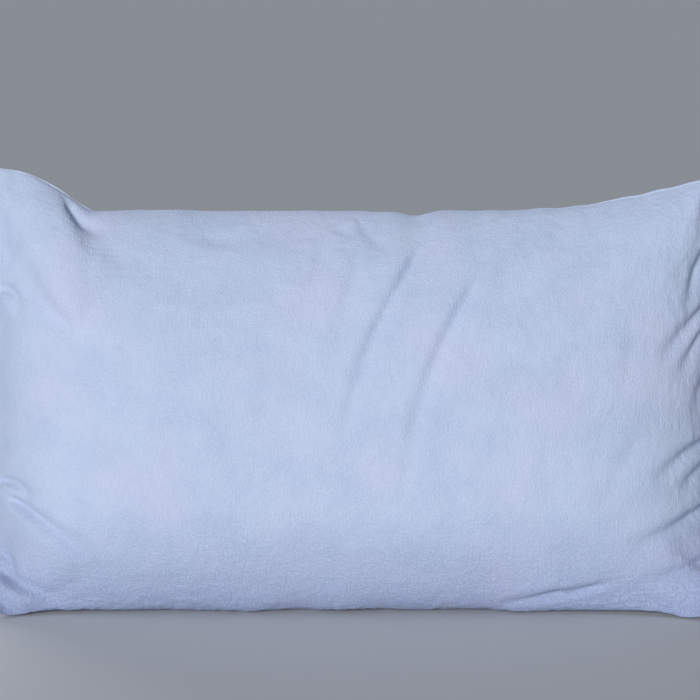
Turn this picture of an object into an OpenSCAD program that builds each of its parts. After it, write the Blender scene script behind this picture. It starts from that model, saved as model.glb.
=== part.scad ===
// Bed pillow: a polyester-filled pillow in a fleece pillowcase with an envelope flap.
// It stands on a long edge and leans back. X runs along the long edge, with the mouth of the
// pillowcase at -X. The front faces -Y. Z is up from the surface that the pillow stands on.

/* [Pillowcase] */
// Reach of the sewn end's corners from the centre of the filling
end_reach = 368; // [340:1:380]
// Reach of the straight mouth from the centre of the filling
mouth_reach = 354; // [340:1:370]
// How far the sewn end draws in between its corners
end_waist = 18; // [0:1:30]
// Height of the seam line above the centre, along the pillow, at mid width
rise_above = 232; // [200:1:260]
// How much higher the corner at the mouth reaches than mid width
mouth_rise = 48; // [40:1:60]
// How much higher the corner at the sewn end reaches than mid width
end_rise = 34; // [20:1:45]
// Half the filled thickness at the centre
half_thick = 95; // [70:1:110]
// Thickness of the fleece
fleece = 2.4; // [1.5:0.1:3]
// Depth of the turned hem at the mouth
hem_depth = 30; // [20:1:50]
// Depth of the envelope flap
flap_depth = 160; // [120:1:190]
// Thickness of the flap cloth
flap_cloth = 2; // [1:0.1:2.4]

/* [Inner pillow] */
// Thickness of the ticking
ticking = 0.8; // [0.5:0.1:1.2]
// Diameter of the piped edge
piping_d = 4; // [3:0.1:4.4]

/* [Stance] */
// Angle that the pillow leans back
lean = 10; // [6:0.5:12]
// Height of the pillow's centre above the surface
centre_height = 162.5; // [155:0.5:170]
// How far the filling is squashed at the foot
foot_squash = 35; // [25:1:45]

/* [Hidden] */

// Clear gap kept between neighbouring cloth layers
gap = 0.5;
// Half the open slit between the two lips of the mouth
slit = 2;
// Radius of an overlocked seam's bundle of threads, and of a row of stitching
seam_r = 0.6;
stitch_r = 0.4;
// How far the middle of a row of stitching stands off its cloth where the pillow is full
stitch_lift = 1.5;
// Rows of stitching lie this far in from the edge that they hold down
hem_inset = 4;
flap_inset = 8;
// Room that the piped edge takes outside the ticking's own seam line
piped = piping_d / 2 + gap + 0.1;
// Height of the ticking's underside, above the case and the piping
ticking_floor = fleece + piping_d + 2 * gap;
// How softly the foot turns into the flat that it stands on
foot_round = 9;
// Front and back of the mid plane
FRONT = -1;
BACK = 1;

// ---- The filled shape ----
// A skin is one smooth closed surface of the pillow:
// [reach to the mouth end, reach to the sewn end, rise to the top seam, half thickness,
//  half opening at the mouth, lowest height, extra rise of the corner at the mouth]
case_outer = [
    mouth_reach, end_reach, rise_above, half_thick, slit + fleece, 0, mouth_rise
];
case_inner = [
    mouth_reach, end_reach - fleece, rise_above - fleece, half_thick - fleece, slit, fleece,
    mouth_rise
];
// Share of the reach to the mouth that the filling takes; the two lips lie together beyond it
filled_share = 0.96;
// The back carries a turned hem, so its lip stands further out
hem_step = fleece + 0.1;
back_outer = deepen(case_outer, 0, hem_step);
back_inner = deepen(case_inner, 0, hem_step);
// The inner pillow's corners are less drawn out than the loose corners of the case
plain_rise = mouth_rise - 24;
mouth_room = 28;
end_room = 16;
top_room = 14;
thick_room = 8.5;
ticking_outer = [
    mouth_reach - mouth_room, end_reach - end_room, rise_above - top_room,
    half_thick - thick_room, 0, ticking_floor, plain_rise
];
ticking_inner = [
    ticking_outer[0] - ticking, ticking_outer[1] - ticking, ticking_outer[2] - ticking,
    ticking_outer[3] - ticking, 0, ticking_floor + ticking, plain_rise
];
piping_line = [
    ticking_outer[0] + piped, ticking_outer[1] + piped, ticking_outer[2] + piped, 0, 0,
    ticking_floor - piped, plain_rise
];

// The same skin with its half thickness and its half opening moved
function deepen(skin, thick, opening) =
    [skin[0], skin[1], skin[2], skin[3] + thick, skin[4] + opening, skin[5], skin[6]];

// The same skin with its lowest height moved up
function raise(skin, by) =
    [skin[0], skin[1], skin[2], skin[3], skin[4], skin[5] + by, skin[6]];

// Height along the pillow of the lowest seam line, at u across
function foot_line(skin, u) =
    -(centre_height - skin[5]) / cos(lean) - foot_squash * (1 - pow(abs(u), 4));
// Height along the pillow of the top seam line: steep at the mouth's corner, gentle at the other
function top_line(skin, u) =
    skin[2] + (u < 0 ? skin[6] * pow(-u, 4.5) : end_rise * pow(u, 3.5));
function across(skin, u, v) =
    u < 0 ? skin[0] * u : (skin[1] - end_waist * (1 - pow(abs(v), 2.5))) * u;
// Share of the full thickness, at a skin that is filled over a share of its length
function fullness(u, v, share) =
    (u < 0 ? pow(1 - pow(min(1, -u / share), 4), 0.85) : pow(1 - pow(u, 3.2), 0.62))
    * pow(1 - pow(abs(v), 2.2), 0.62) * (1 - 0.12 * v);
function lip(u, v) = u < 0 ? u * u * sqrt(1 - pow(abs(v), 12)) : 0;

// A point on a skin; u runs from the mouth to the sewn end and v from foot to top, -1 to 1
function on_skin(skin, side, u, v) = let (
    s = v < 0 ? -v * foot_line(skin, u) : v * top_line(skin, u),
    share = skin[4] == 0 ? 1 : filled_share,
    n = side * (skin[3] * fullness(u, v, share) + skin[4] * lip(u, v))
) lean_back([across(skin, u, v), n, s], skin[5]);

function lean_back(p, low) = [
    p[0], p[1] * cos(lean) + p[2] * sin(lean),
    low + flattened(centre_height + p[2] * cos(lean) - p[1] * sin(lean) - low)
];

// Height above the foot's flat: rounded off over the last few millimetres, and never below it
function flattened(h) =
    max(0, (h + norm([h, foot_round]) - foot_round * (sqrt(2) - 1)) / 2);

// Steps that crowd towards -1 and 1, where a skin curves most
function steps(low, high, count) =
    [for (i = [0 : count]) sin(asin(low) + (asin(high) - asin(low)) * i / count)];

case_us = steps(-1, 1, 36);
case_vs = steps(-1, 1, 26);

// The case's own steps from the mouth to a depth, with one more at a row of stitching just
// short of it, and those away from the seams: the layers inside the case lie parallel to it
function steps_to(depth, inset) = let (
    end = -1 + depth / mouth_reach,
    row = end - inset / mouth_reach
) concat([for (u = case_us) if (u < row - 0.01) u], [row, end]);
function steps_within(v_end) = [for (v = case_vs) if (abs(v) < v_end) v];

// Moves the pillow's middle over the origin
seam_outset = 0.8;
front_ys = [for (u = case_us, v = case_vs) on_skin(case_outer, FRONT, u, v)[1]];
back_ys = [for (u = case_us, v = case_vs) on_skin(back_outer, BACK, u, v)[1]];
centring = [
    (mouth_reach + seam_outset + seam_r - end_reach) / 2,
    -(min(front_ys) + max(back_ys)) / 2,
    0
];

// ---- Building blocks ----
// The two triangles of a cell; a to d go round it clockwise as seen from outside
function cell(a, b, c, d) = [[a, b, c], [a, c, d]];

// The solid between two skins of one side, over a patch of them
module cloth(outer, inner, side, us, vs) {
    nu = len(us);
    nv = len(vs);
    all = nu * nv;
    points = concat(
        [for (u = us, v = vs) on_skin(outer, side, u, v)],
        [for (u = us, v = vs) on_skin(inner, side, u, v)]
    );
    faces = concat(
        [for (i = [0 : nu - 2], j = [0 : nv - 2])
            let (a = i * nv + j) each cell(a, a + 1, a + nv + 1, a + nv)],
        [for (i = [0 : nu - 2], j = [0 : nv - 2])
            let (a = all + i * nv + j) each cell(a, a + nv, a + nv + 1, a + 1)],
        [for (i = [0 : nu - 2], end = [0, nv - 1])
            let (a = i * nv + end, b = a + nv)
            each (end == 0 ? cell(a, b, b + all, a + all) : cell(b, a, a + all, b + all))],
        [for (j = [0 : nv - 2], end = [0, nu - 1])
            let (a = end * nv + j, b = a + 1)
            each (end == 0 ? cell(b, a, a + all, b + all) : cell(a, b, b + all, a + all))]
    );
    translate(centring)
    polyhedron(
        points = points,
        faces = side == FRONT ? faces : [for (f = faces) [f[2], f[1], f[0]]]
    );
}

function unit(v) = v / norm(v);

// A round cord along a list of points, in rings square to it; a closed one has no ends
module cord(path, r, sides, closed = false) {
    count = len(path);
    function at(i) = path[(i + count) % count];
    function heading(i) = closed
        ? unit(unit(at(i + 1) - at(i)) + unit(at(i) - at(i - 1)))
        : unit(path[min(i + 1, count - 1)] - path[max(i - 1, 0)]);
    points = [
        for (i = [0 : count - 1])
            let (t = heading(i), x = unit(cross(t, [0.03, 1, 0.05])), y = cross(t, x))
            for (k = [0 : sides - 1])
                path[i] + r * (cos(360 * k / sides) * x + sin(360 * k / sides) * y)
    ];
    rings = closed ? count : count - 1;
    skin = [
        for (i = [0 : rings - 1], k = [0 : sides - 1])
            let (a = i * sides, b = ((i + 1) % count) * sides, m = (k + 1) % sides)
            each cell(a + k, b + k, b + m, a + m)
    ];
    last = (count - 1) * sides;
    caps = closed ? [] : concat(
        [for (k = [1 : sides - 2]) [0, k, k + 1]],
        [for (k = [1 : sides - 2]) [last, last + k + 1, last + k]]
    );
    translate(centring) polyhedron(points = points, faces = concat(skin, caps));
}

// ---- Pillowcase ----
module case_front_panel() {
    color("lightsteelblue") cloth(case_outer, case_inner, FRONT, case_us, case_vs);
}

module case_back_panel() {
    color("lightsteelblue") cloth(back_outer, back_inner, BACK, case_us, case_vs);
}

// The back panel's edge turned under at the mouth, inside the first layer
module case_mouth_hem() {
    color("lightsteelblue")
    cloth(
        deepen(back_inner, -gap, -0.8), deepen(back_inner, -fleece - gap, -fleece - 0.1), BACK,
        steps_to(hem_depth, hem_inset), steps_within(0.93)
    );
}

// A row of stitching on the back panel's outside, along the hem's turned edge
module case_hem_stitching() {
    raised = deepen(back_outer, stitch_lift, stitch_lift);
    u = -1 + (hem_depth - hem_inset) / mouth_reach;
    color("aliceblue")
    cord([for (v = steps_within(0.9)) on_skin(raised, BACK, u, v)], stitch_r, 6);
}

// The overlocked edges run inside the case, just within its seam lines
module case_top_seam_thread() {
    drop = 4.5;
    line = [case_outer[0], case_outer[1], case_outer[2] - drop, 0, 0, 0, mouth_rise];
    color("aliceblue")
    cord([for (u = steps(-0.93, 0.93, 32)) on_skin(line, FRONT, u, 1)], seam_r, 6);
}

module case_bottom_seam_thread() {
    forward = 6;
    line = [case_outer[0], case_outer[1], 0, 0, 0, fleece + seam_r + 0.1, 0];
    color("aliceblue") translate([0, -forward, 0])
    cord([for (u = steps(-0.85, 0.85, 28)) on_skin(line, FRONT, u, -1)], seam_r, 6);
}

module case_end_seam_thread() {
    inset = 4.5;
    line = [case_outer[0], case_outer[1] - inset, case_outer[2], 0, 0, 0, 0];
    color("aliceblue")
    cord([for (v = steps(-0.72, 0.93, 26)) on_skin(line, FRONT, 1, v)], seam_r, 6);
}

// A blank woven label, caught in the sewn end's seam and lying on the back panel's inside
module case_care_label() {
    top = deepen(back_inner, -1.6, 0);
    color("white")
    cloth(top, deepen(top, -0.8, 0), BACK, steps(0.9, 0.985, 4), steps(-0.34, -0.2, 3));
}

// ---- Envelope flap ----
flap_outer = raise(deepen(back_inner, -fleece - 2 * gap, -fleece - gap), gap);
flap_inner = raise(deepen(flap_outer, -flap_cloth, -flap_cloth), flap_cloth);
flap_us = steps_to(flap_depth, flap_inset);

// The flap lies between the inner pillow and the back panel
module flap_panel() {
    color("lightsteelblue")
    cloth(flap_outer, flap_inner, BACK, flap_us, steps_within(0.89));
}

// The straight seam that joins the flap to the front panel at the mouth, which it turns about
module flap_root_seam() {
    length = 400;
    middle = 55;
    off_middle = (slit + flap_outer[4] - flap_cloth) / 2 - slit;
    color("aliceblue")
    translate(centring) translate([-mouth_reach - seam_outset, 0, centre_height])
    rotate([-lean, 0, 0]) translate([0, off_middle, middle - length / 2])
    cylinder(h = length, r = seam_r, $fn = 24);
}

// A row of stitching along the flap's free edge, on the side that faces the inner pillow
module flap_edge_stitching() {
    raised = deepen(flap_inner, -stitch_lift, 0);
    row = flap_us[len(flap_us) - 2];
    color("aliceblue")
    cord([for (v = steps_within(0.8)) on_skin(raised, BACK, row, v)], stitch_r, 6);
}

// ---- Inner pillow ----
ticking_us = steps(-1, 1, 26);
ticking_vs = steps(-1, 1, 22);

module ticking_front() {
    color("white") cloth(ticking_outer, ticking_inner, FRONT, ticking_us, ticking_vs);
}

module ticking_back() {
    color("white") cloth(ticking_outer, ticking_inner, BACK, ticking_us, ticking_vs);
}

// A piped edge runs round the seam that joins the two faces
module ticking_piping() {
    us = steps(-1, 1, 22);
    vs = steps(-1, 1, 14);
    nu = len(us);
    nv = len(vs);
    path = concat(
        [for (i = [0 : nu - 2]) on_skin(piping_line, FRONT, us[i], -1)],
        [for (j = [0 : nv - 2]) on_skin(piping_line, FRONT, 1, vs[j])],
        [for (i = [nu - 1 : -1 : 1]) on_skin(piping_line, FRONT, us[i], 1)],
        [for (j = [nv - 1 : -1 : 1]) on_skin(piping_line, FRONT, -1, vs[j])]
    );
    color("white") cord(path, piping_d / 2, 8, closed = true);
}

// The closing seam's threads, inside the sewn end of the ticking
module ticking_seam_thread() {
    inset = 6;
    line = [ticking_outer[0], ticking_outer[1] - inset, ticking_outer[2], 0, 0, 0, 0];
    color("white") cord([for (v = steps(-0.7, 0.9, 20)) on_skin(line, FRONT, 1, v)], stitch_r, 6);
}

// One of three plies of the folded hollow-fibre batt, between two shares of the thickness.
// Front and back plies are thin towards their edges, where the batt is pressed together.
module fill_ply(low, high, side) {
    spare = 10;
    bed = [
        ticking_inner[0] - spare, ticking_inner[1] - spare, ticking_inner[2] - spare,
        ticking_inner[3] - gap, 0, ticking_inner[5] + 4 * gap, plain_rise
    ];
    near = deepen(bed, bed[3] * (low - 1), 0);
    far = deepen(bed, bed[3] * (high - 1), 0);
    color("whitesmoke")
    cloth(far, near, side, steps(-0.95, 0.95, 20), steps(-0.78, 0.95, 14));
}

third = 1 / 3;
parting = 0.01;

module fill_front_ply() { fill_ply(third + parting, 1, FRONT); }

module fill_middle_ply() { fill_ply(-third, third, BACK); }

module fill_back_ply() { fill_ply(third + parting, 1, BACK); }

// A blank label, caught in the seam at the sewn end and lying on the back of the ticking
module pillow_label() {
    top = deepen(ticking_outer, 2.4, 0);
    bottom = deepen(ticking_outer, 1.6, 0);
    color("white") cloth(top, bottom, BACK, steps(0.86, 0.985, 4), steps(0.1, 0.26, 3));
}

case_front_panel();
case_back_panel();
case_mouth_hem();
case_top_seam_thread();
case_bottom_seam_thread();
case_end_seam_thread();
case_hem_stitching();
case_care_label();
flap_panel();
flap_root_seam();
flap_edge_stitching();
ticking_front();
ticking_back();
ticking_piping();
ticking_seam_thread();
fill_front_ply();
fill_middle_ply();
fill_back_ply();
pillow_label();
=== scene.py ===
"""Looks of the bed pillow: fleece case, envelope flap and inner pillow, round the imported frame."""

import math
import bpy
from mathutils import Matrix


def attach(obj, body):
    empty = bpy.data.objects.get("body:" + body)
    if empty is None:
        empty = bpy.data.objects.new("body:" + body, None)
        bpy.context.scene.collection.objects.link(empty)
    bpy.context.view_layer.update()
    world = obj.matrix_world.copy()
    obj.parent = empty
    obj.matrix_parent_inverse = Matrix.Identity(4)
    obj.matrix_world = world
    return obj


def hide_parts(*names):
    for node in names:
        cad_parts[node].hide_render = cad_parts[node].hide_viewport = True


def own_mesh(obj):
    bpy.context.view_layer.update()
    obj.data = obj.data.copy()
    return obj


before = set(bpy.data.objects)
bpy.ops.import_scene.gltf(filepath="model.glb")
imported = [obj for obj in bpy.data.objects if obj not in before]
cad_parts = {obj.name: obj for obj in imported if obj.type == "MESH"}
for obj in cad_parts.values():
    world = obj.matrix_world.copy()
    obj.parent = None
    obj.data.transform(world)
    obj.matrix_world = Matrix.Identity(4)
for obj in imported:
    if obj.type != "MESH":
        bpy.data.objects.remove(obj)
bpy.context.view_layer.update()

from types import SimpleNamespace

import bmesh
import bpy
import numpy as np
from mathutils import Vector

# ---------------------------------------------------------------- measures, in metres
LEAN = math.radians(10)
MIDDLE = Vector((-0.0063, 0.0027, 0.1625))  # middle of the filling
ACROSS = (0.0, math.cos(LEAN), -math.sin(LEAN))  # from the front to the back of the pillow
ALONG = np.array((1.0, 0.0, 0.0))  # the pillow's own three directions
THROUGH = np.array(ACROSS)
UPWARD = np.array((0.0, math.sin(LEAN), math.cos(LEAN)))
TO_MOUTH, TO_END = 0.354, 0.368  # reach of the case from the middle to its two ends
FOOT_ROUND = 0.026  # softness of the turn that runs in under the pillow
CORNER_ROUND = 0.004  # and of the same turn at its corners
FOOT_SQUASH = 0.035  # how much of the foot is squashed flat at mid length
END_WAIST = 0.008  # how far the sewn end draws in between its corners
FILLED = 0.983  # share of the length towards the mouth that is filled
FRONT, BACK = -1, 1
CASE_CUT = (0.75, 0.50)
TICKING_CUT = (0.74, 0.48)
SEED = 11

# The ear at the mouth and the lift at the sewn end each start at a share of the way from the
# middle. The ear rises by about EAR_RISE - EAR_BEND, ever less steeply, and the lift by LIFT_RISE
# for each unit of u.
EAR_FROM, EAR_RISE, EAR_BEND = 0.715, 0.0616, 0.0216
LIFT_FROM, LIFT_RISE = 0.595, 0.072
MOUTH_CORNER, END_CORNER = 0.066, 0.075  # how far the two lower corners come forward

LIP_ROLL = 0.0012  # radius that the front panel's fleece turns over at the mouth
HEM_ROLL = 0.00245  # and the back panel's
PRESSED = 0.4  # depth of those turns, as a share of a round one


def skin(mouth, end, rise, thick, lip, low, loose):
    """One smooth skin of the pillow: its reach to the mouth and to the sewn end, its rise to the
    top seam, half thickness, half opening at the mouth and lowest height. The case is loose, with
    drawn-out corners, and the ticking inside it is not."""
    return SimpleNamespace(
        mouth=mouth, end=end, rise=rise, thick=thick, lip=lip, low=low, loose=loose
    )


CASE = {
    FRONT: skin(TO_MOUTH, TO_END, 0.234, 0.0950, 0.0044, 0.0, True),
    BACK: skin(TO_MOUTH, TO_END, 0.234, 0.0950, 0.0069, 0.0, True),
}
FLAP_BACK = skin(TO_MOUTH, 0.3626, 0.2266, 0.0884, 0.0012, 0.0040, True)
FLAP_FRONT = skin(TO_MOUTH, 0.3626, 0.2266, 0.0868, -0.0004, 0.0050, True)
TICKING = skin(0.326, 0.352, 0.214, 0.0835, 0.0, 0.0074, False)


def angled(low, high, count):
    """Steps that crowd towards -1 and 1, where a skin curves most."""
    return np.sin(np.linspace(math.asin(low), math.asin(high), count))


def ramp(t, soft=0.06):
    """t where it is positive and 0 elsewhere, with a rounded corner."""
    return 0.5 * (t + np.sqrt(t * t + soft * soft))


def smooth(t):
    """0 below 0, 1 above 1, and a soft step between them."""
    t = np.clip(t, 0, 1)
    return t * t * (3 - 2 * t)


def bumps(x, humps):
    """Sum of round humps, each given as its place, width and height."""
    return sum(h * np.exp(-(((x - c) / w) ** 2)) for c, w, h in humps)


# Small rises and dips of the case's top seam: (place, width, height)
TOP_WAVES = [
    (0.066, 0.012, -0.0028), (0.100, 0.020, 0.0015), (0.200, 0.050, 0.0020),
    (-0.190, 0.050, 0.0012),
]


def top_line(s, u):
    """Height of the top seam above the middle."""
    if s.loose:
        t = ramp((-u - EAR_FROM) / (1 - EAR_FROM), 0.03)
        left = EAR_RISE * t - EAR_BEND * t * t
        right = LIFT_RISE * ramp(u - LIFT_FROM, 0.05)
        waves = bumps(u * 0.36, TOP_WAVES) + 0.0006 * lattice_noise(u, u * 0, 0.045, SEED + 3)
    else:
        left = 0.014 * np.clip(-u, 0, 1) ** 6
        right = 0.020 * np.clip(u, 0, 1) ** 4
        waves = 0
    return s.rise + left + right + waves


def foot_line(s, u):
    """Height of the foot above the middle, so less than 0. It sags between the corners, and
    lean_back flattens what would be under the bed's surface."""
    return -(MIDDLE.z - s.low) / math.cos(LEAN) - FOOT_SQUASH * (1 - u**4)


def fullness(s, u, v):
    """Share of its half thickness that a skin has, which falls to 0 at every edge and is a
    little more towards the foot."""
    share = FILLED if s.lip else 1.0
    mouth = (1 - np.minimum(1, np.clip(-u, 0, 1) / share) ** 6) ** 0.9
    end = (1 - np.clip(u, 0, 1) ** 3.2) ** 0.62
    side = (1 - np.abs(v) ** 2.1) ** 0.68
    return mouth * end * side * (1 - 0.12 * v)


def lip(u, v):
    """Share of its half opening that a skin has: 1 at the mouth, and 0 at the mouth's corners
    and from mid length on."""
    return np.where(u < 0, u * u * np.sqrt(1 - np.abs(v) ** 12), 0)


def lean_back(x, n, s, low, soft):
    """Row-frame points from distances along, through and up the pillow; the foot is flattened."""
    y = n * math.cos(LEAN) + s * math.sin(LEAN)
    h = MIDDLE.z + s * math.cos(LEAN) - n * math.sin(LEAN) - low
    h = (h + np.hypot(h, soft) - soft * (math.sqrt(2) - 1)) / 2
    return np.stack([x + MIDDLE.x, y + MIDDLE.y, low + np.maximum(h, 0)], axis=-1)


def corner_reach(x, up):
    """How far the lower corners of the pillow come forward, at distances from its middle."""
    case = CASE[FRONT]
    u = np.clip(np.where(x < 0, x / case.mouth, x / case.end), -1, 1)
    low = np.clip(up / foot_line(case, u), 0, 1)
    at_end = END_CORNER * low**3 * np.clip(u, 0, 1) ** 3
    return at_end + MOUTH_CORNER * low**5 * np.clip(-u, 0, 1) ** 4


def shape(s, side, u, v):
    """Points of a skin, for arrays u (mouth to sewn end) and v (foot to top), each -1 to 1."""
    up = np.where(v < 0, -v * foot_line(s, u), v * top_line(s, u))
    through = side * (s.thick * fullness(s, u, v) + s.lip * lip(u, v))
    reach = s.end - END_WAIST * (1 - np.abs(v) ** 2.5)
    x = np.where(u < 0, s.mouth * u, reach * u)
    through = through - corner_reach(x, up)
    soft = FOOT_ROUND + (CORNER_ROUND - FOOT_ROUND) * u**4
    return lean_back(x, through, up, s.low, soft)


def grid(us, vs):
    """Every pair of a u and a v, as two arrays with a row for each u."""
    return np.meshgrid(us, vs, indexing="ij")


def normals(points, side):
    """Outward unit normals of a grid of points."""
    du = np.gradient(points, axis=0)
    dv = np.gradient(points, axis=1)
    n = np.cross(du, dv) * -side
    return n / np.maximum(np.linalg.norm(n, axis=-1, keepdims=True), 1e-12)


# ---------------------------------------------------------------- noise and filters
def lattice_noise(x, y, size, seed):
    """Smooth noise of about -1 to 1 over the plane, with lumps of the given size."""
    random = np.random.default_rng(seed)
    table = random.uniform(-1, 1, (256, 256))
    gx, gy = x / size + 77.3, y / size + 51.9
    ix, iy = np.floor(gx).astype(int), np.floor(gy).astype(int)
    fx, fy = gx - ix, gy - iy
    fx, fy = fx * fx * (3 - 2 * fx), fy * fy * (3 - 2 * fy)
    ix, iy = ix % 255, iy % 255
    a = table[ix, iy] * (1 - fx) + table[ix + 1, iy] * fx
    b = table[ix, iy + 1] * (1 - fx) + table[ix + 1, iy + 1] * fx
    return a * (1 - fy) + b * fy


def blurred(values, cells):
    """A grid of values, blurred over about that many cells each way."""
    count = int(cells * 2.5)
    kernel = np.exp(-0.5 * (np.arange(-count, count + 1) / cells) ** 2)
    kernel /= kernel.sum()
    for axis in (0, 1):
        width = [(0, 0)] * values.ndim
        width[axis] = (count, count)
        padded = np.pad(values, width, mode="reflect", reflect_type="odd")
        values = np.apply_along_axis(lambda r: np.convolve(r, kernel, "valid"), axis, padded)
    return values


def resampled(values, us, vs):
    """A grid of values over even steps, read at the grid positions us and vs (0 to 1)."""
    nu, nv = values.shape[:2]
    a, b = us * (nu - 1), vs * (nv - 1)
    i, j = np.minimum(a.astype(int), nu - 2), np.minimum(b.astype(int), nv - 2)
    p, q = (a - i)[:, None, None], (b - j)[None, :, None]
    p, q = p * p * (3 - 2 * p), q * q * (3 - 2 * q)
    c = lambda di, dj: values[np.ix_(i + di, j + dj)]
    low = c(0, 0) * (1 - p) + c(1, 0) * p
    high = c(0, 1) * (1 - p) + c(1, 1) * p
    return low * (1 - q) + high * q


# ---------------------------------------------------------------- cloth simulation
def swollen(skins, cut, cells, pressure, frames, bend):
    """A flat two-sided pattern of that cut, blown up from the pillow's shape until its cloth
    puckers at the seams. Returns, for each side, how far the puckers stand off the plain shape."""
    nu, nv = cells
    us, vs = angled(-1, 1, nu), angled(-1, 1, nv)
    u, v = grid(us, vs)
    plain = {side: shape(skins[side], side, u, v) for side in (FRONT, BACK)}
    index = {FRONT: np.arange(nu * nv).reshape(nu, nv)}
    index[BACK] = index[FRONT].copy()
    index[BACK][1:-1, 1:-1] = nu * nv + np.arange((nu - 2) * (nv - 2)).reshape(nu - 2, nv - 2)
    inner = plain[BACK][1:-1, 1:-1].reshape(-1, 3)
    points = np.concatenate([plain[FRONT].reshape(-1, 3), inner])
    flat = np.stack(
        [
            np.broadcast_to(np.linspace(-0.5, 0.5, nu)[:, None] * cut[0], (nu, nv)),
            np.zeros((nu, nv)),
            np.broadcast_to(np.linspace(-0.5, 0.5, nv)[None, :] * cut[1], (nu, nv)),
        ],
        axis=-1,
    )
    rest = np.concatenate([flat.reshape(-1, 3), flat[1:-1, 1:-1].reshape(-1, 3) + (0, 0.001, 0)])
    faces = []
    for side in (FRONT, BACK):
        k = index[side]
        quads = np.stack([k[:-1, :-1], k[1:, :-1], k[1:, 1:], k[:-1, 1:]], axis=-1).reshape(-1, 4)
        faces.append(quads if side == FRONT else quads[:, ::-1])
    mesh = bpy.data.meshes.new("trial")
    mesh.from_pydata(points.tolist(), [], np.concatenate(faces).tolist())
    piece = bpy.data.objects.new("trial", mesh)
    bpy.context.scene.collection.objects.link(piece)
    piece.shape_key_add(name="Basis")
    key = piece.shape_key_add(name="Cut")
    key.data.foreach_set("co", rest.astype(np.float32).ravel())
    cloth = piece.modifiers.new("Cloth", "CLOTH")
    c = cloth.settings
    c.quality = 5
    c.mass = 0.15
    c.tension_stiffness = c.compression_stiffness = 18
    c.shear_stiffness = 6
    c.bending_stiffness = bend
    c.tension_damping = c.compression_damping = c.shear_damping = 12
    c.air_damping = 4
    c.use_pressure = True
    c.uniform_pressure_force = pressure
    c.rest_shape_key = key
    c.effector_weights.gravity = 0
    cloth.collision_settings.use_collision = False
    scene = bpy.context.scene
    for f in range(1, frames + 1):
        scene.frame_set(f)
    graph = bpy.context.evaluated_depsgraph_get()
    result = piece.evaluated_get(graph).to_mesh()
    co = np.zeros(len(result.vertices) * 3)
    result.vertices.foreach_get("co", co)
    co = co.reshape(-1, 3)
    scene.frame_set(1)
    bpy.data.objects.remove(piece)
    puckers = {}
    for side in (FRONT, BACK):
        moved = co[index[side]] - plain[side]
        moved = blurred(moved, 0.9) - blurred(moved, 6)
        puckers[side] = moved
    return puckers


def pucker(puckers, side, us, vs, strength, cap):
    """The puckers of a side at those steps, each point's move limited to the cap."""
    to_even = lambda t: 0.5 + np.arcsin(np.clip(t, -1, 1)) / math.pi
    moved = resampled(puckers[side], to_even(us), to_even(vs)) * strength
    size = np.linalg.norm(moved, axis=-1, keepdims=True)
    return moved * (cap * np.tanh(size / cap) / np.maximum(size, 1e-9))


# ---------------------------------------------------------------- folds
# A fold is (start, middle, end, width, ridge, groove). Its three points are given along X and up
# the pillow from its middle, and its sizes are all in millimetres. Walking from its start to its
# end, the cloth is raised on the right, drops over the width and is sunk on the left.
FRONT_FOLDS = [
    # long creases that hang from the middle of the top seam
    ((66, 200), (10, 92), (-19, -16), 6.8, 3.0, 3.0),
    ((118, 160), (66, 60), (40, -60), 7.0, 2.8, 2.6),
    ((0, 190), (-16, 122), (-36, 50), 9, 1.6, 1.2),
    ((-36, 190), (-50, 146), (-74, 104), 9, 1.4, 1.0),
    ((4, 224), (10, 206), (36, 182), 5, 1.2, 1.6),
    ((-22, 214), (-8, 206), (10, 204), 5, 0.8, 1.2),
    ((-152, 200), (-112, 196), (-60, 206), 9, 1.0, 1.6),
    ((264, 102), (258, 62), (246, 14), 9, 0.8, 0.8),
    ((268, 4), (248, -30), (228, -66), 9, 0.9, 0.8),
    # top corner at the mouth
    ((-290, 240), (-270, 216), (-244, 203), 6.5, 2.6, 7.5),
    ((-268, 112), (-314, 166), (-344, 244), 15, 7.0, 5.5),
    ((-362, 148), (-342, 143), (-336, 120), 5, 3.2, 8.0),
    # lower corner at the mouth
    ((-362, -44), (-332, -46), (-318, -64), 4.5, 4.0, 7.0),
    ((-340, -58), (-298, -84), (-256, -114), 6, 4.6, 7.5),
    ((-362, -112), (-346, -122), (-336, -140), 5, 2.5, 5.5),
    ((-362, -128), (-328, -143), (-286, -162), 6, 5.5, 9.0),
    # sewn end
    ((362, 204), (338, 166), (324, 122), 6, 3.4, 6.0),
    ((362, 142), (326, 114), (292, 82), 6, 3.2, 6.0),
    ((362, 122), (334, 92), (312, 60), 5, 2.6, 5.2),
    ((362, 74), (342, 50), (332, 14), 7, 2.2, 3.5),
    ((362, 4), (322, -10), (284, -38), 6, 3.4, 6.2),
    ((362, -20), (336, -30), (314, -50), 5, 2.6, 5.0),
    ((362, -58), (312, -78), (262, -100), 6, 3.6, 6.4),
    ((362, -108), (318, -122), (270, -134), 6, 3.0, 6.0),
    ((242, -138), (206, -150), (170, -159), 6, 2.2, 4.2),
    ((206, -146), (170, -155), (134, -166), 6, 2.4, 4.6),
]
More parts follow.
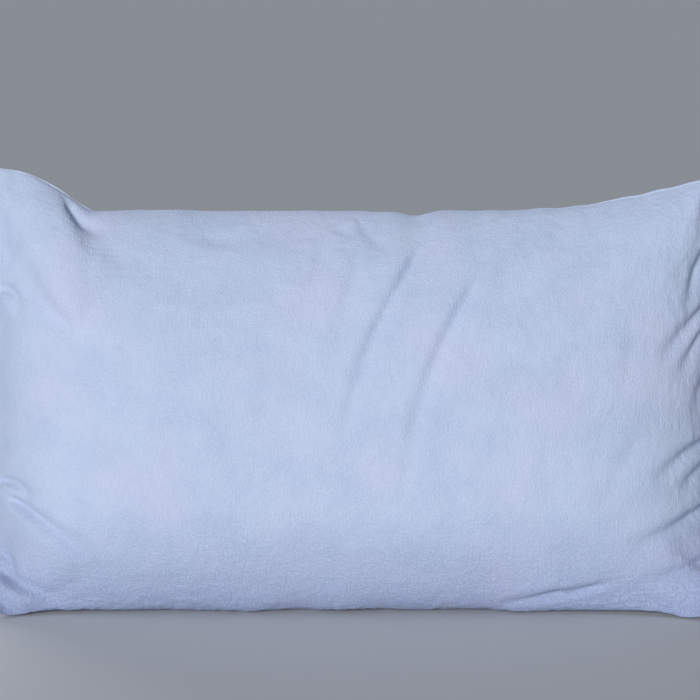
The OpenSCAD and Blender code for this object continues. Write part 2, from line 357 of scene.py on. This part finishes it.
BACK_FOLDS = [
    # hanging from the top seam
    ((-40, 206), (-20, 110), (24, 10), 8, 3.0, 3.0),
    ((-8, 200), (26, 130), (60, 60), 8, 2.4, 2.2),
    ((-160, 196), (-140, 120), (-96, 50), 9, 2.4, 2.0),
    ((150, 196), (120, 110), (126, 40), 8, 2.4, 2.4),
    # sewn end
    ((362, 200), (330, 150), (300, 96), 7, 3.4, 5.0),
    ((362, 146), (320, 110), (268, 74), 7, 3.4, 5.5),
    ((362, 62), (318, 46), (270, 24), 7, 3.0, 5.0),
    ((362, 6), (330, -8), (296, -34), 6, 2.8, 4.5),
    ((362, -40), (314, -56), (258, -88), 7, 3.4, 5.5),
    ((362, -104), (306, -112), (240, -132), 7, 3.0, 5.0),
    # mouth and its corners
    ((-330, 240), (-296, 180), (-236, 126), 12, 4.0, 4.5),
    ((-334, 60), (-306, 44), (-270, 10), 8, 2.4, 2.6),
    ((-326, -46), (-290, -76), (-236, -112), 8, 3.4, 4.5),
    ((-200, -118), (-120, -136), (-36, -130), 9, 2.4, 3.0),
    ((60, -128), (130, -142), (226, -130), 9, 2.4, 3.0),
]


def folded(x, up, folds):
    """Height of the folds at points of a side, in metres."""
    height = np.zeros_like(x)
    t = np.linspace(0, 1, 41)
    for start, middle, end, width, ridge, groove in folds:
        a, b, c = (np.array(p) / 1000 for p in (start, middle, end))
        line = (
            np.outer((1 - t) * (1 - 2 * t), a)
            + np.outer(4 * t * (1 - t), b)
            + np.outer(t * (2 * t - 1), c)
        )
        heading = np.gradient(line, axis=0)
        heading /= np.linalg.norm(heading, axis=1, keepdims=True)
        w = width / 1000
        near = (
            (x > line[:, 0].min() - 8 * w) & (x < line[:, 0].max() + 8 * w)
            & (up > line[:, 1].min() - 8 * w) & (up < line[:, 1].max() + 8 * w)
        )
        dx = x[near][:, None] - line[None, :, 0]
        dy = up[near][:, None] - line[None, :, 1]
        k = np.argmin(dx * dx + dy * dy, axis=1)
        row = np.arange(len(k))
        dx, dy, hx, hy, along = dx[row, k], dy[row, k], heading[k, 0], heading[k, 1], t[k]
        right = hy * dx - hx * dy
        past = hx * dx + hy * dy
        fade = np.minimum(1, 0.3 + along / 0.14) * (1 - along**2) ** 0.9
        fade = fade * np.exp(-((past / (2 * w)) ** 2))
        w = w * (0.8 + 0.8 * along)
        rise = 0.5 * ridge * (1 + np.tanh(right / (0.45 * w))) * np.exp(-((right / (3.2 * w)) ** 2))
        dip = groove * np.exp(-(((right + 0.55 * w) / w) ** 2))
        height[near] += fade * (rise - dip) / 1000
    return height


# ---------------------------------------------------------------- meshes
def run_of(line):
    """Distance along a line of points, from its start."""
    return np.concatenate([[0], np.cumsum(np.linalg.norm(np.diff(line, axis=0), axis=1))])


def lay_uvs(mesh, uv):
    """UVs in metres, from one pair for each vertex."""
    corners = np.zeros(len(mesh.loops), np.int32)
    mesh.loops.foreach_get("vertex_index", corners)
    layer = mesh.uv_layers.new(name="cloth")
    layer.data.foreach_set("uv", uv[corners].astype(np.float32).ravel())


def grid_object(name, points, side, material):
    """A sheet of quads over a grid of points, with UVs in metres along the cloth."""
    nu, nv = points.shape[:2]
    k = np.arange(nu * nv).reshape(nu, nv)
    quads = np.stack([k[:-1, :-1], k[1:, :-1], k[1:, 1:], k[:-1, 1:]], axis=-1).reshape(-1, 4)
    if side == BACK:
        quads = quads[:, ::-1]
    mesh = bpy.data.meshes.new(name)
    mesh.vertices.add(nu * nv)
    mesh.vertices.foreach_set("co", points.astype(np.float32).ravel())
    mesh.loops.add(quads.size)
    mesh.loops.foreach_set("vertex_index", quads.astype(np.int32).ravel())
    mesh.polygons.add(len(quads))
    mesh.polygons.foreach_set("loop_start", np.arange(0, quads.size, 4, dtype=np.int32))
    mesh.update(calc_edges=True)
    a, b = np.meshgrid(run_of(points[:, nv // 2]), run_of(points[nu // 2]), indexing="ij")
    lay_uvs(mesh, np.stack([a, b], axis=-1).reshape(-1, 2))
    mesh.polygons.foreach_set("use_smooth", np.ones(len(quads), bool))
    mesh.materials.append(material)
    piece = bpy.data.objects.new(name, mesh)
    bpy.context.scene.collection.objects.link(piece)
    return piece


def tube(name, path, radius, sides, material, closed=False):
    """A round thread or cord along a path of points."""
    path = np.asarray(path, float)
    count = len(path)
    if closed:
        heading = np.roll(path, -1, axis=0) - np.roll(path, 1, axis=0)
    else:
        heading = np.gradient(path, axis=0)
    heading /= np.linalg.norm(heading, axis=1, keepdims=True)
    across = np.cross(heading, (0.03, 1.0, 0.05))
    across /= np.linalg.norm(across, axis=1, keepdims=True)
    other = np.cross(heading, across)
    turn = np.linspace(0, 2 * math.pi, sides, endpoint=False)
    radius = np.broadcast_to(radius, count)
    rings = path[:, None] + radius[:, None, None] * (
        np.cos(turn)[None, :, None] * across[:, None] + np.sin(turn)[None, :, None] * other[:, None]
    )
    faces = []
    for i in range(count if closed else count - 1):
        a, b = i * sides, (i + 1) % count * sides
        for k in range(sides):
            m = (k + 1) % sides
            faces.append((a + k, a + m, b + m, b + k))
    if not closed:
        faces += [tuple(range(sides))[::-1], tuple(range((count - 1) * sides, count * sides))]
    return solid_mesh(name, rings.reshape(-1, 3), faces, material)


def solid_mesh(name, points, faces, material, uv=None):
    """A closed mesh, whose UVs are those given or else its places seen from the front."""
    points = np.asarray(points)
    mesh = bpy.data.meshes.new(name)
    mesh.from_pydata(points.tolist(), [], faces)
    lay_uvs(mesh, points[:, [0, 2]] if uv is None else uv)
    mesh.polygons.foreach_set("use_smooth", np.ones(len(faces), bool))
    mesh.materials.append(material)
    piece = bpy.data.objects.new(name, mesh)
    bpy.context.scene.collection.objects.link(piece)
    return piece


def slab(name, outer, inner, material):
    """A closed layer between two grids of points, with a rounded rim and UVs in metres."""
    nu, nv = outer.shape[:2]
    k = np.arange(nu * nv).reshape(nu, nv)
    border = np.concatenate([k[:-1, 0], k[-1, :-1], k[:0:-1, -1], k[0, :0:-1]])
    flat_outer, flat_inner = outer.reshape(-1, 3), inner.reshape(-1, 3)
    middle = 0.5 * (flat_outer + flat_inner)
    centre = middle.mean(axis=0)
    bulge = middle[border] - centre
    bulge /= np.linalg.norm(bulge, axis=1, keepdims=True)
    half = 0.5 * np.linalg.norm(flat_outer[border] - flat_inner[border], axis=1, keepdims=True)
    ring = middle[border] + bulge * half * 0.8
    points = np.concatenate([flat_outer, flat_inner, ring])
    quads = np.stack([k[:-1, :-1], k[1:, :-1], k[1:, 1:], k[:-1, 1:]], axis=-1).reshape(-1, 4)
    faces = [quads, quads[:, ::-1] + nu * nv]
    follow = np.roll(border, -1)
    rim = 2 * nu * nv + np.arange(len(border))
    rim_follow = np.roll(rim, -1)
    faces.append(np.stack([follow, border, rim, rim_follow], axis=-1))
    faces.append(np.stack([border + nu * nv, follow + nu * nv, rim_follow, rim], axis=-1))
    faces = np.concatenate(faces)
    a, b = np.meshgrid(run_of(outer[:, nv // 2]), run_of(outer[nu // 2]), indexing="ij")
    uv = np.stack([a, b], axis=-1).reshape(-1, 2)
    piece = solid_mesh(name, points, faces.tolist(), material, np.concatenate([uv, uv, uv[border]]))
    facing = bmesh.new()
    facing.from_mesh(piece.data)
    bmesh.ops.recalc_face_normals(facing, faces=facing.faces)
    facing.to_mesh(piece.data)
    facing.free()
    return piece


# ---------------------------------------------------------------- materials
def node(tree, kind, **values):
    """A new node, with its sockets or settings of those names set."""
    made = tree.nodes.new(kind)
    for key, value in values.items():
        if key in made.inputs:
            made.inputs[key].default_value = value
        else:
            setattr(made, key, value)
    return made


def cloth_material(
    name, colour, light, dark, roughness, sheen, sheen_rough, pile, grain, tint=None, painted_foot_shade=None
):
    """A cloth: mottled colour, a brushed or woven surface and a soft sheen. The pile is the
    (scale per metre, bump depth) of its tufts and the grain that of its lengthwise streaks. The
    tint, if there is one, shows in broad patches, and the foot colour, if there is one, is painted
    shade: a darker colour along the foot that stands in for the shade of the ruffled pile there."""
    material = bpy.data.materials.new(name)
    material.use_nodes = True
    tree = material.node_tree
    shader = tree.nodes["Principled BSDF"]
    shader.inputs["Roughness"].default_value = roughness
    shader.inputs["Specular IOR Level"].default_value = 0.15
    shader.inputs["Sheen Weight"].default_value = sheen
    shader.inputs["Sheen Roughness"].default_value = sheen_rough
    shader.inputs["Sheen Tint"].default_value = (*light, 1)
    where = node(tree, "ShaderNodeTexCoord")
    link = tree.links.new
    tufts = node(tree, "ShaderNodeTexNoise", Scale=pile[0], Detail=3.0, Roughness=0.55)
    link(where.outputs["UV"], tufts.inputs["Vector"])
    stretch = node(tree, "ShaderNodeMapping", Scale=(grain[0], grain[0] * 0.16, 1))
    link(where.outputs["UV"], stretch.inputs["Vector"])
    streaks = node(tree, "ShaderNodeTexNoise", Scale=1.0, Detail=2.0, Roughness=0.5)
    link(stretch.outputs["Vector"], streaks.inputs["Vector"])
    clouds = node(tree, "ShaderNodeTexNoise", Scale=24.0, Detail=4.0, Roughness=0.6)
    link(where.outputs["UV"], clouds.inputs["Vector"])

    def mix(a, b, share, low, high):
        """From a to b as the share goes from low to high. Each is a colour or a socket."""
        spread = node(tree, "ShaderNodeMapRange")
        spread.inputs["From Min"].default_value = low
        spread.inputs["From Max"].default_value = high
        link(share, spread.inputs["Value"])
        blend = node(tree, "ShaderNodeMix", data_type="RGBA")
        link(spread.outputs["Result"], blend.inputs[0])
        for socket, value in ((blend.inputs[6], a), (blend.inputs[7], b)):
            if isinstance(value, tuple):
                socket.default_value = (*value, 1)
            else:
                link(value, socket)
        return blend.outputs[2]

    base = mix(dark, colour, clouds.outputs["Fac"], 0.25, 0.6)
    if tint:
        patches = node(tree, "ShaderNodeTexNoise", Scale=9.0, Detail=2.0, Roughness=0.5)
        link(where.outputs["UV"], patches.inputs["Vector"])
        base = mix(base, tint, patches.outputs["Fac"], 0.48, 0.85)
    if painted_foot_shade:
        # painted shade: a darker colour mixed in along the foot, over the lowest 150 mm of the cloth
        place = node(tree, "ShaderNodeSeparateXYZ")
        link(where.outputs["UV"], place.inputs["Vector"])
        base = mix(base, painted_foot_shade, place.outputs["Y"], 0.150, -0.01)
    base = mix(base, light, tufts.outputs["Fac"], 0.45, 0.95)
    shade = mix(base, dark, streaks.outputs["Fac"], 0.5, 1.1)
    link(shade, shader.inputs["Base Color"])
    first = node(tree, "ShaderNodeBump", Strength=0.9, Distance=grain[1])
    link(streaks.outputs["Fac"], first.inputs["Height"])
    second = node(tree, "ShaderNodeBump", Strength=1.0, Distance=pile[1])
    link(tufts.outputs["Fac"], second.inputs["Height"])
    link(first.outputs["Normal"], second.inputs["Normal"])
    link(second.outputs["Normal"], shader.inputs["Normal"])
    return material


# The fleece's darker foot colour is painted shade along the foot, where the pile meets the floor
FLEECE = cloth_material(
    "fleece", colour=(0.46, 0.54, 0.71), light=(0.56, 0.63, 0.775), dark=(0.40, 0.48, 0.655),
    roughness=0.95, sheen=0.35, sheen_rough=0.55, pile=(460.0, 0.00095), grain=(520.0, 0.0004),
    tint=(0.53, 0.54, 0.73), painted_foot_shade=(0.21, 0.25, 0.44),
)
COTTON = cloth_material(
    "ticking_cotton", colour=(0.80, 0.80, 0.79), light=(0.86, 0.86, 0.85), dark=(0.76, 0.76, 0.76),
    roughness=0.85, sheen=0.12, sheen_rough=0.4, pile=(1500.0, 0.00025), grain=(1600.0, 0.0002),
)
THREAD = cloth_material(
    "case_thread", colour=(0.42, 0.50, 0.72), light=(0.52, 0.58, 0.78), dark=(0.36, 0.43, 0.64),
    roughness=0.6, sheen=0.2, sheen_rough=0.4, pile=(2500.0, 0.0001), grain=(2500.0, 0.0001),
)
WHITE_THREAD = cloth_material(
    "white_thread", colour=(0.82, 0.82, 0.82), light=(0.88, 0.88, 0.88), dark=(0.76, 0.76, 0.76),
    roughness=0.6, sheen=0.2, sheen_rough=0.4, pile=(2500.0, 0.0001), grain=(2500.0, 0.0001),
)
LABEL = cloth_material(
    "label_satin", colour=(0.85, 0.85, 0.83), light=(0.9, 0.9, 0.88), dark=(0.8, 0.8, 0.78),
    roughness=0.45, sheen=0.1, sheen_rough=0.3, pile=(2000.0, 0.0001), grain=(2600.0, 0.0001),
)
FILLING = cloth_material(
    "hollow_fibre", colour=(0.88, 0.88, 0.88), light=(0.93, 0.93, 0.93), dark=(0.8, 0.8, 0.8),
    roughness=0.95, sheen=0.3, sheen_rough=0.5, pile=(300.0, 0.003), grain=(250.0, 0.002),
)


# ---------------------------------------------------------------- camera, light and stage
VIEW_UP = math.radians(8.7)
AIM = Vector((-0.004, -0.03, 0.257))
DISTANCE = 2.3
FRAME_WIDTH = 0.686
camera = bpy.data.objects.new("camera", bpy.data.cameras.new("camera"))
camera.data.sensor_width = 36
camera.data.lens = 36 * DISTANCE / FRAME_WIDTH
camera.location = AIM + DISTANCE * Vector((0, -math.cos(VIEW_UP), math.sin(VIEW_UP)))
camera.rotation_euler = (math.pi / 2 - VIEW_UP, 0, 0)
bpy.context.scene.collection.objects.link(camera)
bpy.context.scene.camera = camera


def soft_light(name, place, aim, size, power, colour):
    """A rectangular lamp at a place, turned to its aim."""
    lamp = bpy.data.lights.new(name, "AREA")
    lamp.shape = "RECTANGLE"
    lamp.size, lamp.size_y = size
    lamp.energy = power
    lamp.color = colour
    piece = bpy.data.objects.new(name, lamp)
    piece.location = place
    direction = Vector(aim) - Vector(place)
    piece.rotation_euler = direction.to_track_quat("-Z", "Y").to_euler()
    bpy.context.scene.collection.objects.link(piece)


window = bpy.data.objects.new("window", bpy.data.lights.new("window", "SUN"))
window.data.energy = 2.8
window.data.angle = math.radians(20)
window.rotation_euler = Vector((0.31, 0.91, -0.26)).to_track_quat("-Z", "Y").to_euler()
bpy.context.scene.collection.objects.link(window)
soft_light("back", (-1.1, 2.2, 1.3), (0, 0, 0.2), (1.4, 1.2), 26, (0.93, 0.95, 1))
world = bpy.data.worlds.new("studio")
world.use_nodes = True
world.node_tree.nodes["Background"].inputs["Color"].default_value = (0.78, 0.86, 1, 1)
world.node_tree.nodes["Background"].inputs["Strength"].default_value = 0.26
bpy.context.scene.world = world
bpy.context.scene.view_settings.view_transform = "Standard"

FLOOR_HALF = 400
floor_mesh = bpy.data.meshes.new("floor")
floor_corners = [(x * FLOOR_HALF, y * FLOOR_HALF, 0) for x, y in ((-1, -1), (1, -1), (1, 1), (-1, 1))]
floor_mesh.from_pydata(floor_corners, [], [(0, 1, 2, 3)])
floor = bpy.data.objects.new("floor", floor_mesh)
floor.location.z = -0.0005
bpy.context.scene.collection.objects.link(floor)
pale = bpy.data.materials.new("pale_floor")
pale.use_nodes = True
pale.node_tree.nodes["Principled BSDF"].inputs["Base Color"].default_value = (0.56, 0.57, 0.59, 1)
pale.node_tree.nodes["Principled BSDF"].inputs["Roughness"].default_value = 0.8
floor_mesh.materials.append(pale)


def fit(piece, body, slot, *nodes):
    """Rides a piece on its body, in place of its CAD nodes, and gives each piece that is not on
    the inner pillow a mesh of its own."""
    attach(piece, body)
    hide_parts(*nodes)
    if body != "inner_pillow":
        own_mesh(piece)


# ---------------------------------------------------------------- fleece case
case_puckers = swollen(CASE, CASE_CUT, cells=(101, 69), pressure=5.0, frames=36, bend=0.4)
ticking_puckers = swollen(
    {FRONT: TICKING, BACK: TICKING}, TICKING_CUT, cells=(91, 61), pressure=5.0, frames=30, bend=0.15
)

HEM_DEPTH = 0.030
HEM_ROW = -1 + 0.026 / TO_MOUTH  # the hem's stitching, as a value of u
HEM_EDGE = 0.0007  # radius that the hem's raw edge is turned under at
SEAM_PINCH = 0.0014
SEAM_WIDTH = 0.0022
HALF_HEIGHT, HALF_LENGTH = 0.23, 0.36  # of the case, to measure from its seams in metres
SEWING = (0.0030, 0.0009, 0.00042)  # length of a stitch, the gap after it, and its radius
CLOSING = (0.0036, 0.0016, 0.0004)

# Lumps of the filling that show through the fleece, and the tufts of its pile, which stand up
# more where it is ruffled: (height, size, step from the seed)
LUMPS = ((0.0011, 0.085, 0), (0.0006, 0.034, 5))
TUFTS = ((0.00026, 0.0040, 9), (0.00020, 0.0085, 13))


def case_points(side, us, vs):
    """The outside of one side of the case, with its puckers, folds, seams and pile."""
    u, v = grid(us, vs)
    s = CASE[side]
    points = shape(s, side, u, v)
    out = normals(points, side)
    x = points[..., 0]
    up = np.where(v < 0, -v * foot_line(s, u), v * top_line(s, u))
    rim = (1 - np.abs(v) ** 40) * (1 - np.abs(u) ** 60) * smooth((u + 1) / 0.04)
    away = folded(x, up, FRONT_FOLDS if side == FRONT else BACK_FOLDS)
    for height, size, seed in LUMPS:
        away += height * lattice_noise(x, up, size, SEED + seed + side)
    away += 0.0020 * smooth((-v - 0.55) / 0.35) * lattice_noise(x, up, 0.045, SEED + 7 + side)
    ruffled = 1 + 1.6 * smooth((-v - 0.62) / 0.36) + 1.0 * smooth((u - 0.8) / 0.2)
    for height, size, seed in TUFTS:
        away += height * ruffled * lattice_noise(x, up, size, SEED + seed + side)
    if side == BACK:
        past = (u - HEM_ROW) * s.mouth
        away += 0.0005 * smooth(-past / 0.004) - 0.0008 * np.exp(-((past / 0.0016) ** 2))
    points = points + out * (away * rim)[..., None]
    near_ends = 0.35 + 0.65 * smooth((np.abs(u) - 0.5) / 0.35)
    mouth = smooth((u + 1) / 0.06)
    moved = pucker(case_puckers, side, us, vs, 1.0, 0.0045)
    points += moved * (near_ends * mouth)[..., None]
    seam = np.exp(-(((1 - np.abs(v)) * HALF_HEIGHT / SEAM_WIDTH) ** 2)) * np.sign(v)
    end = np.exp(-(((1 - u) * HALF_LENGTH / SEAM_WIDTH) ** 2))
    points -= SEAM_PINCH * (seam[..., None] * UPWARD + end[..., None] * ALONG)
    points[..., 2] = np.maximum(points[..., 2], 0)
    return points


def mouth_opening(vs):
    """Share of the mouth's full opening at each height, which closes at its corners."""
    return np.sqrt(1 - np.abs(vs) ** 12)[:, None]


def turned_in(edge, side, vs, radius, steps):
    """Rows that carry a cloth round its edge at the mouth to its inside, innermost first. The
    turn is pressed flat, so that it stays clear of the flap's seam."""
    r = radius * mouth_opening(vs)
    inward = -side * THROUGH
    turns = np.linspace(math.pi, 0, steps, endpoint=False)
    return np.stack(
        [edge + r * (1 - math.cos(a)) * inward - PRESSED * r * math.sin(a) * ALONG for a in turns]
    )


def lined(side, us, vs, radius):
    """The inner face of a turned-in edge, which keeps twice that radius behind the outside. Its
    steps run towards the mouth."""
    inwards = -side * 2 * radius * mouth_opening(vs).T[..., None] * THROUGH
    return (case_points(side, us[::-1], vs) + inwards)[::-1]


case_us, case_vs = angled(-1, 1, 374), angled(-1, 1, 256)
tail_us = np.linspace(-0.93, -1, 6, endpoint=False)
for side, name, radius in ((FRONT, "case_front", LIP_ROLL), (BACK, "case_back", HEM_ROLL)):
    outside = case_points(side, case_us, case_vs)
    rows = [turned_in(outside[0], side, case_vs, radius, 9), outside]
    if side == FRONT:
        rows.insert(0, lined(side, tail_us, case_vs, radius))
    sheet = grid_object(name, np.concatenate(rows), side, FLEECE)
    fit(sheet, "pillowcase", "fleece", name + "_panel")

# The hem carries on from the back panel's turned edge, and its own raw edge is turned under
hem_vs = case_vs[np.abs(case_vs) < 0.985]
hem_us = np.linspace(-1 + HEM_DEPTH / TO_MOUTH, -1, 14)
hem_face = lined(BACK, hem_us, hem_vs, HEM_ROLL)
hem_turn = hem_face[:1] + np.stack(
    [HEM_EDGE * ((1 - math.cos(a)) * THROUGH + math.sin(a) * ALONG) for a in (3.1, 2.3, 1.6, 0.8)]
)[:, None]
hem = grid_object("mouth_hem", np.concatenate([hem_turn, hem_face])[::-1], FRONT, FLEECE)
fit(hem, "pillowcase", "fleece", "case_mouth_hem")


def stitches(name, path, out, length, gap, radius, material):
    """Separate stitches along a path, each of which dives into the cloth at both ends."""
    swell = np.array([0.5, 0.9, 1, 1, 0.9, 0.5])
    cuts, sides = len(swell), 6
    arch = np.sin(np.linspace(0, math.pi, cuts)) - 0.3
    run = run_of(path)
    points, faces = [], []
    for n in range(int(run[-1] / (length + gap))):
        at = n * (length + gap) + np.linspace(0, length, cuts)
        line = np.stack([np.interp(at, run, path[:, k]) for k in range(3)], axis=1)
        rise = np.stack([np.interp(at, run, out[:, k]) for k in range(3)], axis=1)
        line += rise * (radius * arch)[:, None]
        heading = np.gradient(line, axis=0)
        heading /= np.linalg.norm(heading, axis=1, keepdims=True)
        side = np.cross(heading, rise)
        base = len(points)
        for i in range(cuts):
            for a in np.linspace(0, 2 * math.pi, sides, endpoint=False):
                spoke = math.cos(a) * side[i] + math.sin(a) * rise[i]
                points.append(line[i] + radius * swell[i] * spoke)
        for ring in range(base, base + sides * (cuts - 1), sides):
            for k in range(sides):
                m = (k + 1) % sides
                faces.append((ring + k, ring + m, ring + sides + m, ring + sides + k))
        faces.append(tuple(reversed(range(base, base + sides))))
        faces.append(tuple(range(base + sides * (cuts - 1), base + sides * cuts)))
    return solid_mesh(name, points, faces, material)


def rim_path(s, inset, t, edge):
    """A line of steps t just inside a seam of the case: 'top', 'foot' or 'end'."""
    fixed = np.full_like(t, -1.0 if edge == "foot" else 1.0)
    u, v = (fixed, t) if edge == "end" else (t, fixed)
    line = shape(s, FRONT, u, v)
    inwards = {"top": -UPWARD, "foot": UPWARD, "end": -ALONG}[edge]
    return line + inset * inwards


for edge, node_name, low, high, count in (
    ("top", "case_top_seam_thread", -0.93, 0.93, 160),
    ("foot", "case_bottom_seam_thread", -0.85, 0.85, 150),
    ("end", "case_end_seam_thread", -0.72, 0.93, 120),
):
    line = rim_path(CASE[FRONT], 0.0045, angled(low, high, count), edge)
    twist = 0.0006 * (1 + 0.25 * np.sin(np.arange(len(line)) * 1.9))
    seam = tube(node_name.removesuffix("_thread"), line, twist, 8, THREAD)
    fit(seam, "pillowcase", "case_thread", node_name)

row = case_points(BACK, HEM_ROW + np.array([-0.004, 0, 0.004]), angled(-0.9, 0.9, 160))
hem_stitches = stitches("hem_stitches", row[1], normals(row, BACK)[1], *SEWING, THREAD)
fit(hem_stitches, "pillowcase", "case_thread", "case_hem_stitching")

CARE_LABEL_DEPTH, LABEL_CLOTH = 0.0036, 0.0006
label_bed = case_points(BACK, np.linspace(0.90, 0.985, 16), np.linspace(-0.34, -0.2, 16))
label_bed = label_bed - CARE_LABEL_DEPTH * THROUGH
care_label = slab("care_label", label_bed, label_bed - LABEL_CLOTH * THROUGH, LABEL)
fit(care_label, "pillowcase", "label", "case_care_label")


# ---------------------------------------------------------------- envelope flap
FLAP_DEPTH = 0.160
FLAP_FLARE = 0.12  # in u, how far from its root the flap reaches its full width
FLAP_TOP, FLAP_FOOT = (0.82, 0.87), (-0.46, -0.85)  # in v, at its root and where it is full
FLAP_INSET = 0.008  # its stitching lies this far in from its free edge
HINGE_X, HINGE_FORWARD = -0.3611, 0.0012  # the line that the flap turns about

flap_us = np.linspace(-1, -1 + FLAP_DEPTH / TO_MOUTH, 84)
flap_u, flap_t = grid(flap_us, np.linspace(0, 1, 150))
widen = smooth((flap_u + 1) / FLAP_FLARE)
flap_low = FLAP_FOOT[0] + (FLAP_FOOT[1] - FLAP_FOOT[0]) * widen
flap_high = FLAP_TOP[0] + (FLAP_TOP[1] - FLAP_TOP[0]) * widen
flap_v = flap_low + flap_t * (flap_high - flap_low)
from_root = (flap_u + 1) * TO_MOUTH
flap_place = flap_u * TO_MOUTH, flap_v * 0.25
ripple = 0.0007 * lattice_noise(*flap_place, 0.05, SEED + 31)
pile = 0.00025 * lattice_noise(*flap_place, 0.005, SEED + 37)
edge_row = np.exp(-(((from_root - FLAP_DEPTH + FLAP_INSET) / 0.0014) ** 2))
faces_of_flap = []
for s, sign in ((FLAP_BACK, 1), (FLAP_FRONT, -1)):
    points = shape(s, BACK, flap_u, flap_v)
    away = ripple * smooth((flap_u + 1) / 0.1) + sign * (pile - 0.0005 * edge_row)
    faces_of_flap.append(points + away[..., None] * THROUGH)
# The first rows close on the seam that the flap turns about
gather = np.exp(-((from_root / 0.0012) ** 2))[..., None]
for points in faces_of_flap:
    root = points * (0, 1, 1) + HINGE_X * ALONG - 0.0008 * THROUGH
    points += gather * (root - points) * (1, 0.75, 0.75)
flap = slab("flap", faces_of_flap[0], faces_of_flap[1], FLEECE)
fit(flap, "envelope_flap", "fleece", "flap_panel")

stitch_row = np.argmin(np.abs(flap_us - (flap_us[-1] - FLAP_INSET / TO_MOUTH)))
inner_face = faces_of_flap[1]
flap_stitches = stitches(
    "flap_stitches", inner_face[stitch_row, 3:-3],
    -normals(inner_face[stitch_row - 1 : stitch_row + 2], BACK)[1, 3:-3], *SEWING, THREAD,
)
fit(flap_stitches, "envelope_flap", "case_thread", "flap_edge_stitching")

middle = np.array(MIDDLE)
seam_ends = [np.dot(p - middle, UPWARD) for p in faces_of_flap[0][0, [0, -1]]]
seam_line = middle + np.outer(np.linspace(*seam_ends, 300), UPWARD) - HINGE_FORWARD * THROUGH
seam_line[:, 0] = HINGE_X
whip = 0.00062 * (1 + 0.3 * np.sin(np.arange(len(seam_line)) * 1.1))
root_seam = tube("root_seam", seam_line, whip, 10, THREAD)
fit(root_seam, "envelope_flap", "case_thread", "flap_root_seam")


# ---------------------------------------------------------------- inner pillow
def ticking_points(side, us, vs, lift=0.0):
    """The outside of one side of the ticking, or a sheet that far above it."""
    u, v = grid(us, vs)
    points = shape(TICKING, side, u, v)
    out = normals(points, side)
    rim = (1 - np.abs(v) ** 30) * (1 - np.abs(u) ** 40)
    x, up = points[..., 0], points[..., 2]
    away = 0.0012 * lattice_noise(x, up, 0.070, SEED + 41 + side)
    away += 0.0006 * lattice_noise(x, up, 0.028, SEED + 47 + side)
    points = points + out * (away * rim)[..., None]
    points += pucker(ticking_puckers, side, us, vs, 1.0, 0.004) * rim[..., None]
    return points + lift * out


tick_us, tick_vs = angled(-1, 1, 280), angled(-1, 1, 190)
ticking = {}
for side, name in ((FRONT, "ticking_front"), (BACK, "ticking_back")):
    ticking[side] = grid_object(name + "_cloth", ticking_points(side, tick_us, tick_vs), side, COTTON)
    fit(ticking[side], "inner_pillow", "ticking", name)

PIPED = 0.0026  # from the ticking's own edge to the middle of the piping
PIPING_RADIUS = 0.0020
cord_skin = skin(
    TICKING.mouth + PIPED, TICKING.end + PIPED, TICKING.rise + PIPED, 0, 0,
    TICKING.low - PIPED, False,
)
around_u, around_v = angled(-1, 1, 260), angled(-1, 1, 180)
ring = [
    shape(cord_skin, FRONT, around_u[:-1], -np.ones(len(around_u) - 1)),
    shape(cord_skin, FRONT, np.ones(len(around_v) - 1), around_v[:-1]),
    shape(cord_skin, FRONT, around_u[:0:-1], np.ones(len(around_u) - 1)),
    shape(cord_skin, FRONT, -np.ones(len(around_v) - 1), around_v[:0:-1]),
]
piping = tube("piping", np.concatenate(ring), PIPING_RADIUS, 10, COTTON, closed=True)
fit(piping, "inner_pillow", "piping", "ticking_piping")

row = ticking_points(BACK, np.array([0.978, 0.982, 0.986]), np.linspace(-0.7, 0.9, 200))
closing = stitches("closing_stitches", row[1], normals(row, BACK)[1], *CLOSING, WHITE_THREAD)
fit(closing, "inner_pillow", "white_thread", "ticking_seam_thread")

LABEL_LIFT = 0.0012
label_us, label_vs = np.linspace(0.86, 0.985, 24), np.linspace(0.1, 0.26, 20)
pillow_label = slab(
    "pillow_tape", ticking_points(BACK, label_us, label_vs, LABEL_LIFT + LABEL_CLOTH),
    ticking_points(BACK, label_us, label_vs, LABEL_LIFT), LABEL,
)
fit(pillow_label, "inner_pillow", "label", "pillow_label")

ply_u, ply_v = grid(angled(-0.95, 0.95, 90), angled(-0.78, 0.95, 60))
for name, side, low, high in (
    ("fill_front_ply", FRONT, 0.34, 1), ("fill_middle_ply", BACK, -0.33, 0.33),
    ("fill_back_ply", BACK, 0.34, 1),
):
    layers = []
    for share, sign in ((high, 1), (low, -1)):
        bed = skin(0.315, 0.341, 0.207, 0.0810 * share, 0, 0.0110, False)
        points = shape(bed, side, ply_u, ply_v)
        lumps = 0.0005 * lattice_noise(points[..., 0], points[..., 2], 0.012, SEED + 53)
        layers.append(points + (side * sign * (lumps - 0.0006))[..., None] * THROUGH)
    ply = slab(name + "_batt", *layers, FILLING)
    fit(ply, "inner_pillow", "filling", name)
